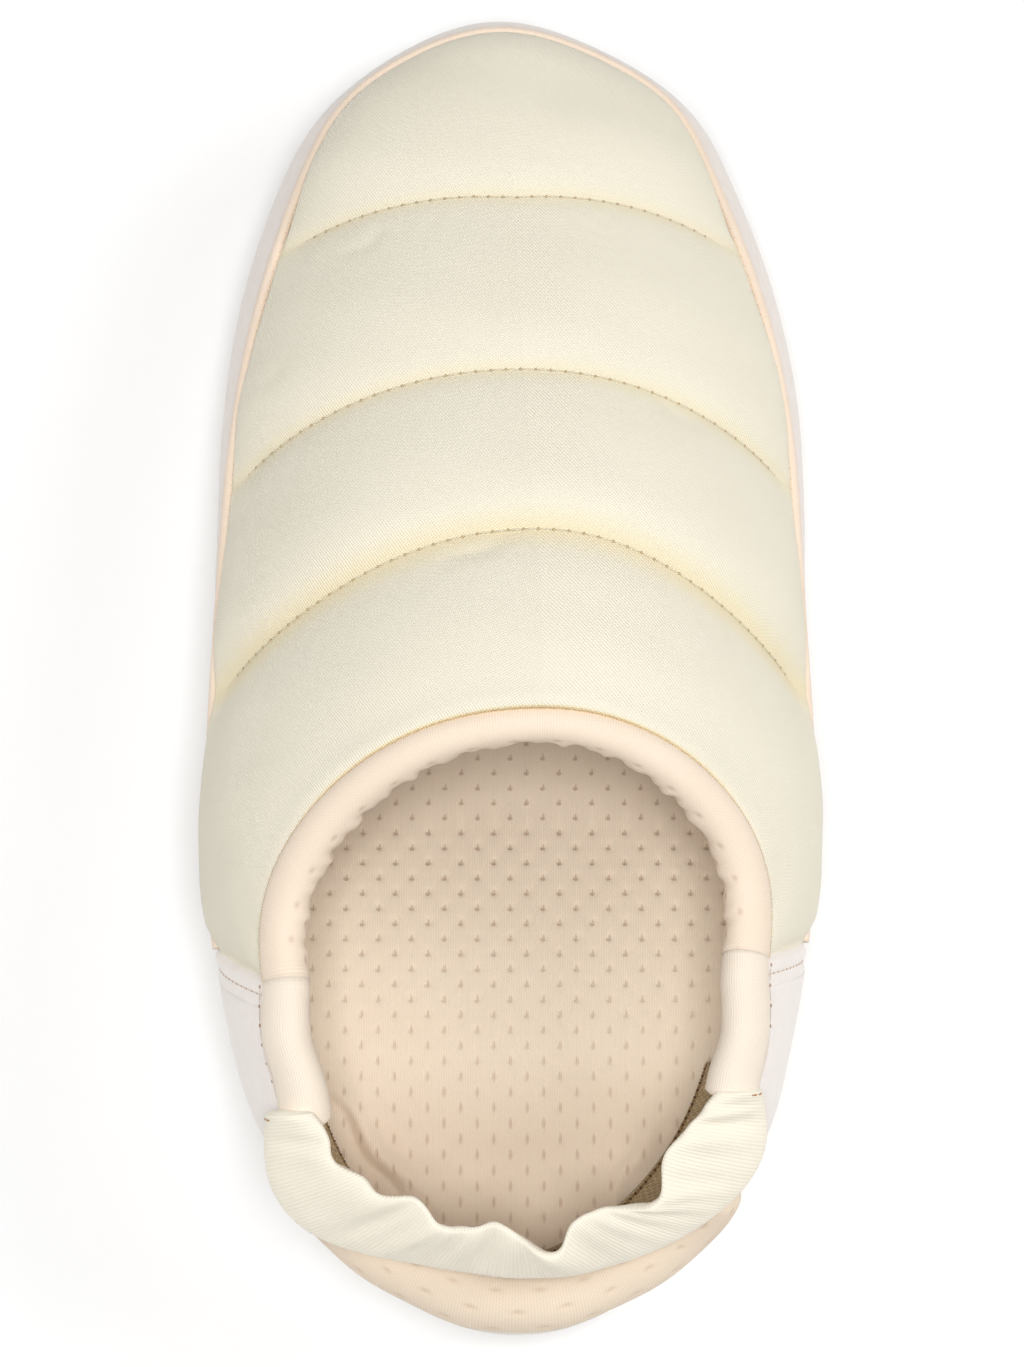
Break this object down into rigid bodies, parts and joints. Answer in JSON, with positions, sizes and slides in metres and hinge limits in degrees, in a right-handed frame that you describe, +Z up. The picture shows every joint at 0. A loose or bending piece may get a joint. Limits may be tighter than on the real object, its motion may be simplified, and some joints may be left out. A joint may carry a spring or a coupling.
{
  "type": "slip-on shoe",
  "caption": "Quilted slip-on mule for the right foot with padded collar, suede-like rand, low heel rim and gathered heel sling.",
  "frame": {"origin": "middle of the shoe's box on the floor it stands on", "axes": "+Y towards the toe, +X towards the outer (lateral) side of a right foot, +Z up"},
  "size_m": [0.1216, 0.2774, 0.0999],
  "materials": {
    "sole_foam": "matt moulded foam",
    "quilt_cloth": "fine twill",
    "insole_mesh": "dimpled spacer mesh",
    "rand_suede": "matt synthetic suede",
    "piping_cloth": "rolled cloth",
    "quarter_synthetic": "smooth matt synthetic",
    "collar_mesh": "padded mesh",
    "collar_knit": "ribbed knit",
    "rim_mesh": "dimpled mesh",
    "sling_cloth": "gathered ribbed twill",
    "tape_weave": "woven tape"
  },
  "bodies": {
    "root": {"sole": "sole_foam", "upper": "quilt_cloth", "insole": "insole_mesh", "rand": "rand_suede", "rand_piping": "piping_cloth", "quarter": "quarter_synthetic", "binding_lateral": "quarter_synthetic", "binding_medial": "quarter_synthetic", "collar_front": "collar_mesh", "collar_rear_lateral": "collar_knit", "collar_rear_medial": "collar_knit", "heel_rim": "rim_mesh", "heel_sling": "sling_cloth", "heel_tape": "tape_weave"}
  },
  "joints": []
}
